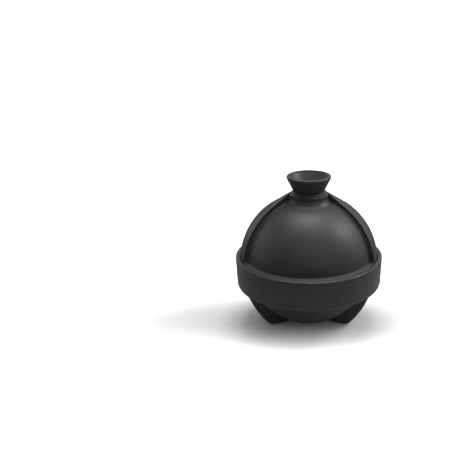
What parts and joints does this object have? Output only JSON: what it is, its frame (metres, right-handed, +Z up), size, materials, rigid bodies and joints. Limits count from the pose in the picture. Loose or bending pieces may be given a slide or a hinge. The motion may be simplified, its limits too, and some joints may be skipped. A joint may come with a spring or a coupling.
{
  "type": "ice ball mold",
  "caption": "Silicone mold for a large ball of ice: a bowl on legs with a wide collar, and a ribbed dome with a pouring funnel that plugs into the collar.",
  "frame": {"origin": "on the table, under the middle of the bowl", "axes": "+Z up along the mold's axis, the ribs and the legs along X, the recessed panels facing -Y and +Y"},
  "size_m": [0.0816, 0.0816, 0.0862],
  "materials": {
    "silicone": "smooth satin charcoal silicone"
  },
  "bodies": {
    "lower": {"lower_half": "silicone"},
    "upper": {"upper_half": "silicone"}
  },
  "joints": [
    {"name": "upper_half_lift", "type": "slide", "parent": "lower", "child": "upper", "axis": [0, 0, 1], "range_m": [0, 0.05]}
  ]
}
